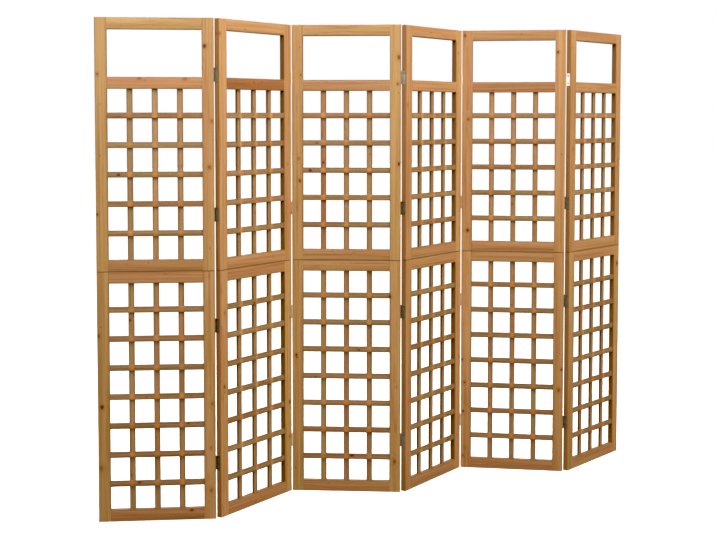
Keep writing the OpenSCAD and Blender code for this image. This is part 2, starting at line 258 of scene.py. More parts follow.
class Wood:
    """A mesh of wooden bars in panel k, each with its own grain, tone and knots stored on its points."""

    def __init__(self, k, knots):
        self.k = k
        self.free_knots = knots
        self.bm = bmesh.new()
        vectors = self.bm.verts.layers.float_vector
        self.grain = vectors.new("grain")
        self.knots = [vectors.new(name) for name in KNOT_LAYERS]
        self.tone = vectors.new("tone")
        self.rim = vectors.new("rim")
        self.lap = self.bm.verts.layers.float.new("lap")
        self.seam = self.bm.verts.layers.float.new("seam")

    def take_knots(self, corner, axes, length, w):
        """The knots on a bar as (along, across, radius), in metres; each knot goes to one bar."""
        taken = []
        for knot in list(self.free_knots):
            x, z, r = (v / MM for v in knot)
            local = axes.transposed() @ (Vector((x, corner[1], z)) - Vector(corner))
            if 0 <= local.x <= length and 0 <= local.y <= w and len(taken) < len(KNOT_LAYERS):
                taken.append((local.x, local.y, r))
                self.free_knots.remove(knot)
        for _ in range(PIN_KNOTS):
            if len(taken) < len(KNOT_LAYERS) and random.random() < PIN_KNOT_CHANCE:
                radius = random.uniform(*PIN_KNOT_R)
                along = random.uniform(PIN_KNOT_END, length - PIN_KNOT_END)
                taken.append((along, random.uniform(PIN_KNOT_EDGE, 1 - PIN_KNOT_EDGE) * w, radius))
        return taken + [None] * (len(KNOT_LAYERS) - len(taken))

    def bar(self, corner, axes, length, w, t, r, look, lap=None, joined=(), stain_and_shade=(1.0, 1.0), seam=None):
        """A bar from its corner.

        look is its tone and the range that its hue is taken from, 0 yellow to 1 pink. lap is the distance
        along it of its first crossing and their pitch. joined lists (edge, from, to) where another bar meets
        one of its long edges, which is edge 0 or 1. The next argument says how dark those two edges are, from
        staining and painted shade, and seam is where along the bar its end, darkened by painted shade, meets
        the other section.
        """
        heart_angle = random.uniform(0, 2 * math.pi)
        heart = Vector((0, math.cos(heart_angle), math.sin(heart_angle))) * random.uniform(*HEART_REACH)
        shift = Vector((random.uniform(0, GRAIN_LENGTH), 0, 0))
        tone, hues = look
        shade = Vector((tone + random.uniform(-TONE_SPREAD, TONE_SPREAD), random.uniform(*hues), 0))
        knots = self.take_knots(corner, axes, length, w)
        # Places along the bar where it has a ring of points, and how far each ring is drawn in
        stations = {0: END_CHAMFER, END_CHAMFER: 0, length - END_CHAMFER: 0, length: END_CHAMFER}
        for _, low, high in joined:
            for x in (low - RIM_FADE, low, high, high + RIM_FADE):
                if END_CHAMFER < x < length - END_CHAMFER:
                    stations[x] = 0
        if seam is not None:
            stations[abs(seam - SEAM_FADE)] = 0
        rings = []
        for x, inset in sorted(stations.items()):
            met = [edge for edge, low, high in joined if low - RIM_FADE / 2 < x < high + RIM_FADE / 2]
            ring = []
            for across, deep, edge in outline(w, t, r):
                local = Vector((
                    x,
                    w / 2 + (across - w / 2) * (1 - 2 * inset / w),
                    t / 2 + (deep - t / 2) * (1 - 2 * inset / t),
                ))
                vert = self.bm.verts.new(Vector(corner) + axes @ local)
                vert[self.grain] = local + shift - heart
                for layer, knot in zip(self.knots, knots):
                    vert[layer] = (local - Vector((knot[0], knot[1], t / 2))) / knot[2] if knot else NO_KNOT
                vert[self.tone] = shade + Vector((0, 0, max(edge, 1 if inset else 0)))
                edge_side = int(across > w / 2)
                free = 0 if edge_side in met else stain_and_shade[edge_side]
                vert[self.rim] = Vector((across, free, w))
                vert[self.lap] = (x - lap[0]) / lap[1] if lap else NO_LAP
                vert[self.seam] = 0 if seam is None else max(0, 1 - abs(x - seam) / SEAM_FADE)
                ring.append(vert)
            rings.append(ring)
        n = len(rings[0])
        for a, b in zip(rings, rings[1:]):
            for i in range(n):
                self.bm.faces.new((a[i], a[(i + 1) % n], b[(i + 1) % n], b[i]))
        self.bm.faces.new(list(reversed(rings[0])))
        self.bm.faces.new(rings[-1])

    def piece(self, kind, material, slot):
        """Stands the bars in their panel and puts them in place of its CAD node of that kind."""
        bmesh.ops.recalc_face_normals(self.bm, faces=self.bm.faces)
        finish_piece(self.bm, f"panel_{self.k}_{kind}_shown", self.k, material)


# ---------------------------------------------------------------- shader nodes
# The Mix node has its own sockets for each kind of value. These are the ones for colours
MIX_A, MIX_B, MIX_RESULT = 6, 7, 2


class Nodes:
    """Empties a node tree, and gives short ways to add and join nodes in it."""

    def __init__(self, tree):
        self.tree = tree
        tree.nodes.clear()

    def add(self, kind, **sets):
        node = self.tree.nodes.new(kind)
        for key, value in sets.items():
            setattr(node, key, value)
        return node

    def link(self, source, target):
        self.tree.links.new(source, target)

    def put(self, socket, value):
        """Links a socket to another one, or sets it to a plain value."""
        if isinstance(value, bpy.types.NodeSocket):
            self.link(value, socket)
        else:
            socket.default_value = value

    def attribute(self, name, output="Vector"):
        return self.add("ShaderNodeAttribute", attribute_name=name).outputs[output]

    def coordinate(self, output):
        return self.add("ShaderNodeTexCoord").outputs[output]

    def math(self, operation, a, b=0.0, clamp=False):
        node = self.add("ShaderNodeMath", operation=operation, use_clamp=clamp)
        self.put(node.inputs[0], a)
        self.put(node.inputs[1], b)
        return node.outputs[0]

    def vector(self, operation, a, b=None):
        node = self.add("ShaderNodeVectorMath", operation=operation)
        self.put(node.inputs[0], a)
        if b is not None:
            self.put(node.inputs[1], b)
        return node.outputs["Value"] if operation in ("LENGTH", "DOT_PRODUCT") else node.outputs[0]

    def split(self, value):
        node = self.add("ShaderNodeSeparateXYZ")
        self.link(value, node.inputs[0])
        return node.outputs

    def join(self, x, y, z):
        node = self.add("ShaderNodeCombineXYZ")
        for socket, value in zip(node.inputs, (x, y, z)):
            self.put(socket, value)
        return node.outputs[0]

    def noise(self, place, scale, detail=3.0, rough=0.55):
        node = self.add("ShaderNodeTexNoise")
        self.link(place, node.inputs["Vector"])
        node.inputs["Scale"].default_value = scale
        node.inputs["Detail"].default_value = detail
        node.inputs["Roughness"].default_value = rough
        return node.outputs["Fac"]

    def stretched(self, place, scales, detail=3.0, rough=0.55):
        """Noise with its own number of waves a metre along each axis."""
        return self.noise(self.vector("MULTIPLY", place, scales), 1.0, detail, rough)

    def swing(self, noise, reach):
        """A noise turned into a swing about zero, half of reach to either side."""
        return self.math("MULTIPLY", self.math("SUBTRACT", noise, 0.5), reach)

    def band(self, value, low, high, out_low=0.0, out_high=1.0):
        """Goes smoothly from out_low to out_high while value goes from low to high."""
        node = self.add("ShaderNodeMapRange", interpolation_type="SMOOTHSTEP")
        self.put(node.inputs["Value"], value)
        node.inputs["From Min"].default_value = low
        node.inputs["From Max"].default_value = high
        node.inputs["To Min"].default_value = out_low
        node.inputs["To Max"].default_value = out_high
        return node.outputs[0]

    def fade(self, value, near, far):
        """1 while value is below near, down to 0 at far."""
        return self.band(value, near, far, 1.0, 0.0)

    def mix(self, factor, a, b, blend="MIX"):
        node = self.add("ShaderNodeMix", data_type="RGBA", blend_type=blend)
        self.put(node.inputs["Factor"], factor)
        self.put(node.inputs[MIX_A], a)
        self.put(node.inputs[MIX_B], b)
        return node.outputs[MIX_RESULT]

    def lay(self, base, colour, mask, strength):
        """Lays a colour over base where mask is 1, as strongly as strength says."""
        return self.mix(self.math("MULTIPLY", mask, strength), base, colour)

    def bump(self, shader, height, strength, distance):
        node = self.add("ShaderNodeBump")
        node.inputs["Strength"].default_value = strength
        node.inputs["Distance"].default_value = distance
        self.link(height, node.inputs["Height"])
        self.link(node.outputs[0], shader.inputs["Normal"])


def new_material(name):
    """A material that has only its main shader yet, as (material, its nodes, the shader)."""
    material = bpy.data.materials.new(name)
    material.use_nodes = True
    n = Nodes(material.node_tree)
    out = n.add("ShaderNodeOutputMaterial")
    shader = n.add("ShaderNodeBsdfPrincipled")
    n.link(shader.outputs[0], out.inputs[0])
    return material, n, shader


def rgb(r, g, b):
    return (r, g, b, 1.0)


WHITE = rgb(1.0, 1.0, 1.0)

# ---------------------------------------------------------------- stained wood
# Red of the reddest boards and of the wood round a knot
EMBER = rgb(0.500, 0.185, 0.058)

# Waves a metre along a bar, across it and into it, of its ripples, streaks and fibres, and across it of its
# blotches of stain
RIPPLES = (6.0, 70.0, 70.0)
STREAKS = (2.2, 120.0, 120.0)
FIBRES = (22.0, 1700.0, 1700.0)
BLOTCHES_ACROSS = 42.0
# Waves a metre of a knot's ragged outline, and of the patches that say how dark a knot is, how red the tint of
# a crossing is and how strong it is
RAGGED_WAVES = 260.0
KNOT_PATCHES = 9.0
TINT_PATCHES = 14.0
STRENGTH_PATCHES = 19.0

# How much a distance from a knot's middle counts along the bar, across it and into it: a knot is longer along
# the grain and goes right through
KNOT_SHAPE = (0.75, 1.0, 0.08)
# How ragged a knot's outline is, and where its edge, the halo round it and the bend of the rings begin and
# end, all in its radii
KNOT_RAGGED = 0.9
KNOT_EDGE = (0.40, 1.05)
KNOT_HALO = (0.8, 2.4)
KNOT_BEND = (0.6, 4.5)
# Some knots are dark and others faint
KNOT_DARKNESS = (0.40, 0.95)

# Width of a growth ring, and how far, in rings, ripples and knots move it
RING_W = 0.0042
RING_RIPPLE = 1.1
RING_BEND = 1.6
# The higher, the narrower the dark latewood at the end of each ring
LATE_SHARPNESS = 2.4
# Width of the band in which the tree's heart wanders along the bar, and its waves a metre
HEART_WANDER = 0.030
HEART_WAVES = 1.6

# Where the darkening of a bar's sides, stain and painted shade, begins and ends, in from them, and how uneven
# the rim's border is
SIDE_BAND = (0.0002, 0.0012)
RIM_RIPPLE = 0.002

# Where a crossing begins and ends to fade along the bar, and the same of the tint in its middle, all in halves
# of a slat's width. The tint reaches a little further across the bar than along it
LAP_BAND = (0.6, 1.1)
SPOT_BAND = (0.35, 1.15)
SPOT_ACROSS = 0.8
# Range of that tint's strength from one crossing to the next
SPOT_STRENGTH = (0.35, 0.80)

# How far the wood leans from yellow to pink goes by its hue and its blotches, in these shares
HUE_SHARE = 0.6
BLOTCH_SHARE = 0.9
LEAN_BAND = (0.40, 1.05)
# How much streaks and latewood deepen it, up to which depth it is pale, and from which it turns deep
STREAK_BAND = (0.28, 0.72)
STREAK_DEPTH = 0.75
LATE_DEPTH = 0.30
PALE_TO = 0.55
DEEP_FROM = 0.45
DEEPEST = 0.60
# A hue past 1 turns a board red, fully so at the second of these
RED_HUES = (1.0, 1.5)
# How strongly the red stain, the rims' stain and painted shade, the seam's painted shade and the knots' halos
# are laid over the wood
REDNESS = 0.85
RIM_STAIN_AND_SHADE = 0.72
SEAM_SHADE = 0.85
HALO_STAIN = 0.50
# Lightness of a bar of tone 0, and what fibres, rounded edges and crossings change in it
LIGHTNESS = 0.94
FIBRE_LIGHTNESS = 0.20
EDGE_DARKENING = 0.04
LAP_LIGHTNESS = 0.06

# Satin varnish, and how fibres and latewood stand up from it and knots sink in
VARNISH_SPECULAR = 0.35
VARNISH_ROUGHNESS = 0.46
FIBRE_ROUGHNESS = 0.20
LATE_SMOOTHNESS = 0.06
FIBRE_HEIGHT = 0.8
LATE_HEIGHT = 0.35
KNOT_HOLLOW = 0.5


def wood_material(name, yellow, pink, pale, deep, rimmed, core, lap=None, side_stain_and_shade=0.60, patch=3.5):
    """Stained softwood: growth rings about each bar's own heart, streaks along it, fibres, and knots.

    lap holds the two colours between which the places where slats cross vary, the next argument how much darker
    the sides of a bar are, from staining and painted shade, and patch how many stained patches a metre of it
    has.
    """
    lap_a, lap_b = lap or (pink, pink)
    material, n, shader = new_material(name)
    place = n.attribute("grain")
    tone, hue, edge = n.split(n.attribute("tone"))
    across, free, width = n.split(n.attribute("rim"))

    # Distance to the nearest knot
    near = NO_KNOT.x
    for layer in KNOT_LAYERS:
        flat = n.vector("MULTIPLY", n.attribute(layer), KNOT_SHAPE)
        near = n.math("MINIMUM", near, n.vector("LENGTH", flat))
    ragged = n.math("ADD", near, n.swing(n.noise(place, RAGGED_WAVES, 2.0), KNOT_RAGGED))
    knot = n.fade(ragged, *KNOT_EDGE)
    halo = n.fade(ragged, *KNOT_HALO)
    darkness = n.band(n.noise(place, KNOT_PATCHES, 1.0), 0.38, 0.62, *KNOT_DARKNESS)

    # Where slats cross
    lap_place = n.math("ADD", n.attribute("lap", "Fac"), 0.5)
    off = n.math("ABSOLUTE", n.math("SUBTRACT", n.math("FRACT", lap_place), 0.5))
    crossing = n.fade(off, LAP_SHARE * LAP_BAND[0], LAP_SHARE * LAP_BAND[1])
    off_middle = n.math("SUBTRACT", n.math("DIVIDE", across, n.math("MULTIPLY", width, 0.5)), 1.0)
    off_middle = n.math("MULTIPLY", off_middle, SPOT_ACROSS)
    off_centre = n.join(n.math("MULTIPLY", off, 1 / LAP_SHARE), off_middle, 0.0)
    spot = n.fade(n.vector("LENGTH", off_centre), *SPOT_BAND)

    # Growth rings round the tree's heart
    x, y, z = n.split(place)
    heart = n.noise(n.join(n.math("MULTIPLY", x, HEART_WAVES), 0.0, 0.0), 1.0, 2.0)
    drift = n.swing(heart, HEART_WANDER)
    radius = n.vector("LENGTH", n.join(0.0, n.math("ADD", y, drift), n.math("SUBTRACT", z, drift)))
    ripple = n.stretched(place, RIPPLES)
    rings = n.math("MULTIPLY", radius, 1 / RING_W)
    rings = n.math("ADD", rings, n.math("MULTIPLY", ripple, RING_RIPPLE))
    rings = n.math("ADD", rings, n.math("MULTIPLY", n.fade(near, *KNOT_BEND), RING_BEND))
    late = n.math("POWER", n.math("FRACT", rings), LATE_SHARPNESS)

    # Broad streaks, fine fibres and blotches of stain
    streak = n.stretched(place, STREAKS, 4.0, 0.6)
    fibre = n.stretched(place, FIBRES, 3.0, 0.6)
    blotch = n.stretched(place, (patch, BLOTCHES_ACROSS, BLOTCHES_ACROSS), 2.0)

    # The sides of a bar, and a narrow rim beside them, are darker than its faces: partly more stain, partly
    # painted shade
    inward = n.math("MINIMUM", across, n.math("SUBTRACT", width, across))
    inward = n.math("ADD", inward, n.swing(ripple, RIM_RIPPLE))
    rim = n.math("MULTIPLY", n.fade(inward, SIDE_BAND[0], RIM_W), free)
    rim = n.math("MULTIPLY", rim, n.math("SUBTRACT", 1.0, crossing))
    side = n.math("MULTIPLY", n.fade(inward, *SIDE_BAND), free)

    # Each board leans to yellow or to pink, its streaks run from pale to deep, and latewood is deepest
    lean = n.math("ADD", n.math("MULTIPLY", hue, HUE_SHARE), n.math("MULTIPLY", blotch, BLOTCH_SHARE))
    mid = n.mix(n.band(lean, *LEAN_BAND), yellow, pink)
    depth = n.band(streak, *STREAK_BAND, 0.0, STREAK_DEPTH)
    depth = n.math("ADD", depth, n.math("MULTIPLY", late, LATE_DEPTH), clamp=True)
    base = n.mix(n.band(depth, 0.0, PALE_TO), n.mix(0.5, mid, pale), mid)
    base = n.mix(n.band(depth, DEEP_FROM, 1.0, 0.0, DEEPEST), base, deep)
    base = n.mix(n.band(hue, *RED_HUES, 0.0, REDNESS), base, n.mix(depth, EMBER, deep))

    value = n.math("ADD", LIGHTNESS, tone)
    value = n.math("ADD", value, n.swing(fibre, FIBRE_LIGHTNESS))
    value = n.math("SUBTRACT", value, n.math("MULTIPLY", edge, EDGE_DARKENING))
    value = n.math("ADD", value, n.math("MULTIPLY", crossing, LAP_LIGHTNESS))
    base = n.mix(1.0, base, n.join(value, value, value), "MULTIPLY")

    # The rims and sides darken with stain and painted shade, and the stiles' ends at the seam with painted
    # shade
    base = n.lay(base, rimmed, rim, RIM_STAIN_AND_SHADE)
    base = n.lay(base, n.mix(0.4, deep, core), side, side_stain_and_shade)
    base = n.lay(base, core, n.attribute("seam", "Fac"), SEAM_SHADE)
    warm = n.mix(n.band(n.noise(place, TINT_PATCHES, 1.0), 0.42, 0.58), lap_a, lap_b)
    strength = n.band(n.noise(place, STRENGTH_PATCHES, 1.0), 0.40, 0.60, *SPOT_STRENGTH)
    base = n.lay(base, warm, spot, strength)
    base = n.lay(base, n.mix(0.5, deep, EMBER), halo, HALO_STAIN)
    base = n.lay(base, core, knot, darkness)
    n.link(base, shader.inputs["Base Color"])

    rough = n.math("ADD", VARNISH_ROUGHNESS, n.swing(fibre, FIBRE_ROUGHNESS))
    rough = n.math("SUBTRACT", rough, n.math("MULTIPLY", late, LATE_SMOOTHNESS))
    n.link(rough, shader.inputs["Roughness"])
    shader.inputs["Specular IOR Level"].default_value = VARNISH_SPECULAR
    height = n.math("ADD", n.math("MULTIPLY", fibre, FIBRE_HEIGHT), n.math("MULTIPLY", late, LATE_HEIGHT))
    height = n.math("SUBTRACT", height, n.math("MULTIPLY", knot, KNOT_HOLLOW))
    n.bump(shader, height, strength=0.25, distance=0.0004)
    return material


FRAME_WOOD = wood_material(
    "frame_wood",
    yellow=rgb(0.485, 0.290, 0.107),
    pink=rgb(0.510, 0.245, 0.107),
    pale=rgb(0.590, 0.384, 0.190),
    deep=rgb(0.285, 0.125, 0.038),
    rimmed=rgb(0.230, 0.138, 0.058),
    core=rgb(0.080, 0.026, 0.007),
)
SLAT_WOOD = wood_material(
    "slat_wood",
    yellow=rgb(0.395, 0.248, 0.108),
    pink=rgb(0.425, 0.217, 0.101),
    pale=rgb(0.500, 0.338, 0.178),
    deep=rgb(0.226, 0.111, 0.038),
    rimmed=rgb(0.155, 0.096, 0.044),
    core=rgb(0.070, 0.024, 0.007),
    lap=(rgb(0.620, 0.225, 0.052), rgb(0.610, 0.290, 0.100)),
    side_stain_and_shade=0.36,
    patch=8.0,
)

# ---------------------------------------------------------------- bare wood and steel
# Waves a metre of the dowels' fibres and flecks, which run upright
DOWEL_FIBRES = (1500.0, 1500.0, 60.0)
DOWEL_FLECKS = (600.0, 600.0, 120.0)


def dowel_material(name, light, dark):
    """Bare hardwood with its grain upright, drawn by place, because the dowels are the frame's own solids."""
    material, n, shader = new_material(name)
    place = n.coordinate("Object")
    fibre = n.stretched(place, DOWEL_FIBRES, 3.0, 0.6)
    fleck = n.stretched(place, DOWEL_FLECKS, 2.0)
    base = n.mix(n.band(fibre, 0.30, 0.70), light, dark)
    base = n.mix(n.band(fleck, 0.58, 0.72, 0.0, 0.5), base, dark)
    n.link(base, shader.inputs["Base Color"])
    n.link(n.math("ADD", 0.50, n.math("MULTIPLY", fibre, 0.20)), shader.inputs["Roughness"])
    n.bump(shader, fibre, strength=0.20, distance=0.0001)
    return material


# Near-white colour of the painted reflection on the hinges marked bright, the brown that some hinges have, and
# how much of the plating's red, green and blue is left where it is dullest
PAINTED_REFLECTION = rgb(0.92, 0.91, 0.88)
HINGE_BROWN = rgb(0.62, 0.45, 0.28)
DULLED = (0.40, 0.38, 0.32)
# Waves a metre of the steel's rolling marks, which run upright, and of its mottling and its spots
ROLLING_MARKS = (2400.0, 2400.0, 160.0)
MOTTLE = 260.0
SPOTS = 900.0
# How much mottling, a hinge's ends and spots dull the plating, and spots the painted reflection
MOTTLE_DULLING = 0.75
END_DULLING = 0.60
SPOT_DULLING = 0.5
SPOT_ON_BRIGHT = 0.25
# Dull plating has lost part of its shine. Its marks, and the painted reflection, make it rougher by this much
STEEL_METALLIC = 0.65
MARK_ROUGHNESS = 0.20
BRIGHT_ROUGHNESS = 0.12


def steel_material(name, colour, rough):
    """Zinc-plated steel, gone dull: fine rolling marks, mottled plating, and duller still at a hinge's ends.

    The mesh says in "plating" how much painted reflection each hinge carries, how far a point lies from its
    middle, and how brown it is.
    """
    material, n, shader = new_material(name)
    place = n.coordinate("Object")
    bright, ends, browning = n.split(n.attribute("plating"))
    marks = n.stretched(place, ROLLING_MARKS)
    spots = n.band(n.noise(place, SPOTS, 3.0), 0.56, 0.70)
    dull = rgb(*(c * left for c, left in zip(colour, DULLED)))
    base = n.mix(n.band(n.noise(place, MOTTLE, 4.0), 0.35, 0.65, 0.0, MOTTLE_DULLING), colour, dull)
    base = n.mix(n.band(ends, 0.45, 1.05, 0.0, END_DULLING), base, dull)
    base = n.lay(base, dull, spots, SPOT_DULLING)
    # Painted reflection: hinges marked bright turn near-white in their colour
    base = n.mix(bright, base, n.lay(PAINTED_REFLECTION, colour, spots, SPOT_ON_BRIGHT))
    base = n.mix(browning, base, HINGE_BROWN)
    n.link(base, shader.inputs["Base Color"])
    shader.inputs["Metallic"].default_value = STEEL_METALLIC
    rough = n.math("ADD", rough, n.math("MULTIPLY", marks, MARK_ROUGHNESS))
    rough = n.math("ADD", rough, n.math("MULTIPLY", bright, BRIGHT_ROUGHNESS))
    n.link(rough, shader.inputs["Roughness"])
    n.bump(shader, marks, strength=0.15, distance=0.0001)
    return material


DOWEL_WOOD = dowel_material("dowel_wood", light=rgb(0.720, 0.560, 0.360), dark=rgb(0.520, 0.350, 0.180))
HINGE_STEEL = steel_material("hinge_steel", rgb(0.33, 0.30, 0.20), rough=0.30)
SCREW_STEEL = steel_material("screw_steel", rgb(0.42, 0.39, 0.32), rough=0.28)


# ---------------------------------------------------------------- the panels' wood
# Tone of each kind of bar, and the range of its hue from 0, yellow, to 1, pink
STILE_LOOK = (-0.02, (0.0, 0.7))
RAIL_LOOK = (-0.08, (0.45, 1.0))
LEVEL_SLAT_LOOK = (-0.16, (0.0, 0.9))
UPRIGHT_SLAT_LOOK = (-0.04, (0.0, 1.0))
# How dark, with stain and painted shade, the outer edges of a panel are, beside 1 for the edges round its
# openings
OUTER_STAIN_AND_SHADE = 0.35
# Rails that stand out: panel 1's bottom rail and the middle rails of panels 2 and 5 are darker and redder than
# the rest, and the top rails of panels 1 and 3 are yellower
ODD_RAILS = {
    (1, 0): (-0.14, (1.0, 1.15)),
    (2, MIDDLE_RAIL_Z): (-0.27, (1.35, 1.45)),
    (5, MIDDLE_RAIL_Z): (-0.14, (1.15, 1.25)),
    (1, TOP_RAIL_Z): (0.04, (0.0, 0.2)),
    (3, TOP_RAIL_Z): (-0.06, (0.0, 0.2)),
}


def stiles(k, knots):
    wood = Wood(k, knots)
    for x, inner_edge, stain_and_shade in ((0, 1, (OUTER_STAIN_AND_SHADE, 1)), (PANEL_W - STILE_W, 0, (1, OUTER_STAIN_AND_SHADE))):
        for z in (0, UPPER_Z):
            floors = [rail - z for rail in RAIL_FLOORS if z <= rail < z + SECTION_H]
            wood.bar(
                (x, 0, z), UPRIGHT, SECTION_H, STILE_W, FRAME_T, EDGE_R, STILE_LOOK,
                joined=[(inner_edge, low, low + RAIL_H) for low in floors],
                stain_and_shade=stain_and_shade, seam=SECTION_H if z == 0 else 0,
            )
    wood.piece("stiles", FRAME_WOOD, "frame_wood")


def rails(k, knots):
    wood = Wood(k, knots)
    for z in RAIL_FLOORS:
        look = ODD_RAILS.get((k, z), RAIL_LOOK)
        stain_and_shade = {0: (OUTER_STAIN_AND_SHADE, 1), TOP_RAIL_Z: (1, OUTER_STAIN_AND_SHADE)}.get(z, (1, 1))
        wood.bar((STILE_W, FRAME_T, z), LEVEL, RAIL_W, RAIL_H, FRAME_T, EDGE_R, look, stain_and_shade=stain_and_shade)
    wood.piece("rails", FRAME_WOOD, "frame_wood")


def horizontal_slats(k, knots):
    wood = Wood(k, knots)
    length = RAIL_W + 2 * SLAT_SEAT
    lap = (SLAT_SEAT + CELL_W + SLAT_W / 2, COLUMN_PITCH)
    for z in SLAT_FLOORS:
        corner = (STILE_W - SLAT_SEAT, FRAME_T / 2, z)
        wood.bar(corner, LEVEL, length, SLAT_W, SLAT_T, SLAT_EDGE_R, LEVEL_SLAT_LOOK, lap)
    wood.piece("horizontal_slats", SLAT_WOOD, "slat_wood")


def vertical_slats(k, knots):
    wood = Wood(k, knots)
    lap = (SLAT_SEAT + CELL_H + SLAT_W / 2, ROW_PITCH)
    for x in SLAT_EDGES:
        for low, high in SLAT_RUNS:
            corner = (x, FRAME_T / 2, low - SLAT_SEAT)
            length = high - low + 2 * SLAT_SEAT
            wood.bar(corner, UPRIGHT, length, SLAT_W, SLAT_T, SLAT_EDGE_R, UPRIGHT_SLAT_LOOK, lap)
    wood.piece("vertical_slats", SLAT_WOOD, "slat_wood")


# ---------------------------------------------------------------- hinges
# Each hinge is drawn in its own frame, with the pin at the origin and its panel's wood towards -X and -Y
LEAF_BACK = -PANEL_GAP / 2
LEAF_FRONT = LEAF_BACK + LEAF_T
OUTER_KNUCKLE_Z = MIDDLE_KNUCKLE_H / 2 + KNUCKLE_GAP
MIDDLE_KNUCKLES = [(-MIDDLE_KNUCKLE_H / 2, MIDDLE_KNUCKLE_H / 2)]
OUTER_KNUCKLES = [(-HINGE_H / 2, -OUTER_KNUCKLE_Z), (OUTER_KNUCKLE_Z, HINGE_H / 2)]
BORE_R = PIN_R + PIN_GAP
# The sheet rolled round the pin ends where this seam is left between it and the leaf
CURL_SEAM = 0.0003
CURL_END = -math.degrees(math.acos((LEAF_FRONT + CURL_SEAM) / KNUCKLE_R))
CURL_STEPS = 28
LEAF_CORNER_R = 0.002
LEAF_CORNER_STEPS = 6
LEAF_BEVEL = 0.00012
# A screw's head has a little room in its hole, which narrows towards the leaf's back
HEAD_ROOM = 0.0002
HOLE_R = SCREW_HEAD_R + HEAD_ROOM
HOLE_BACK_R = 0.0016
ROUND_STEPS = 24
# Directions from a hole's middle, in degrees, to the points on the upper side of the square round it
UPPER_SIDE = range(120, 45, -15)
# Two points that are closer than this are the same
SAME_PLACE = 1e-6
# The pin's head is straight over this share of its height, and domed above at these angles, in radians
HEAD_STRAIGHT = 0.4
DOME_ANGLES = (0.4, 0.8, 1.2)
# The pin's foot is drawn in to this share of its radius over this height
FOOT_TAPER = 0.75
FOOT_TAPER_H = 0.0004

# How much near-white painted reflection the colour of each hinge carries, by its fold and its place from the
# lowest up.
# Most carry little, the top one between panels 5 and 6 carries it fully, and three others a little more
FAINT_REFLECTION = (0.0, 0.12)
HINGES = range(len(HINGE_HEIGHTS))
PAINTED_REFLECTION_SHARE = {(fold, i): random.uniform(*FAINT_REFLECTION) for fold in range(1, LAST_PANEL) for i in HINGES}
PAINTED_REFLECTION_SHARE.update({(LAST_PANEL - 1, 3): 1.0, (1, 3): 0.20, (3, 3): 0.34, (3, 0): 0.22})
BROWNING = dict.fromkeys(PAINTED_REFLECTION_SHARE, 0.0)
# Those whose pins are in front carry more painted reflection, or are browner: painted reflection and brown,
# from the lowest up
FRONT_HINGES = [(0.9, 0.1), (0.8, 0.3), (0.35, 0.8), (1.0, 0.0)]
for fold in range(2, LAST_PANEL, 2):
    for i, (bright, browning) in enumerate(FRONT_HINGES):
        PAINTED_REFLECTION_SHARE[(fold, i)] = bright
        BROWNING[(fold, i)] = browning


def at_hinge(k, side, z):
    """Matrix from a hinge's own frame to the panel's, on its right (side 1) or left (side -1) edge."""
    fold = k - 1 if side > 0 else k - 2
    x = PANEL_W + PANEL_GAP / 2 if side > 0 else -PANEL_GAP / 2
    behind = PIN_BEHIND[fold]
    y = FRAME_T + PIN_OUT if behind else -PIN_OUT
    return Matrix.Translation((x, y, z)) @ Matrix.Diagonal((side, 1 if behind else -1, 1, 1))


def plate(bm):
    """A leaf's flat plate, with two rounded corners and two countersunk screw holes."""
    half = PLATE_W / 2
    middle = -PLATE_TOP - half
    points = {}

    def vert(y, z):
        key = (round(y, 7), round(z, 7))
        if key not in points:
            points[key] = bm.verts.new((LEAF_FRONT, y, z))
        return points[key]

    def square_side(z, up):
        """Points along the upper or lower side of the square round a hole, by growing y."""
        spots = [(-half, up * half)]
        spots += [(half / math.tan(math.radians(a)), up * half) for a in UPPER_SIDE]
        return [vert(middle + y, z + dz) for y, dz in spots + [(half, up * half)]]

    # A square of faces round each hole, one face between the squares, and one from each of them to an end
    faces = []
    for z in (-SCREW_Z, SCREW_Z):
        ring, square = [], []
        for i in range(ROUND_STEPS):
            a = 2 * math.pi * i / ROUND_STEPS
            reach = half / max(abs(math.cos(a)), abs(math.sin(a)))
            square.append(vert(middle + reach * math.cos(a), z + reach * math.sin(a)))
            ring.append(vert(middle + HOLE_R * math.cos(a), z + HOLE_R * math.sin(a)))
        for i in range(ROUND_STEPS):
            j = (i + 1) % ROUND_STEPS
            faces.append(bm.faces.new((ring[i], ring[j], square[j], square[i])))
    faces.append(bm.faces.new(square_side(-SCREW_Z, 1) + list(reversed(square_side(SCREW_Z, -1)))))
    for up in (-1, 1):
        end, r = up * HINGE_H / 2, LEAF_CORNER_R
        arc = [math.radians(90 * i / LEAF_CORNER_STEPS) for i in range(1, LEAF_CORNER_STEPS + 1)]
        corner = [vert(middle - half + r - r * math.cos(a), end - up * r + up * r * math.sin(a)) for a in arc]
        faces.append(bm.faces.new(square_side(up * SCREW_Z, up) + [vert(middle + half, end)] + corner[::-1]))

    made = bmesh.ops.extrude_face_region(bm, geom=faces, use_keep_orig=True)["geom"]
    for v in made:
        if isinstance(v, bmesh.types.BMVert):
            v.co.x = LEAF_BACK
            for z in (-SCREW_Z, SCREW_Z):
                centre = Vector((LEAF_BACK, middle, z))
                if abs((v.co - centre).length - HOLE_R) < SAME_PLACE:
                    v.co = centre + (v.co - centre) * HOLE_BACK_R / HOLE_R


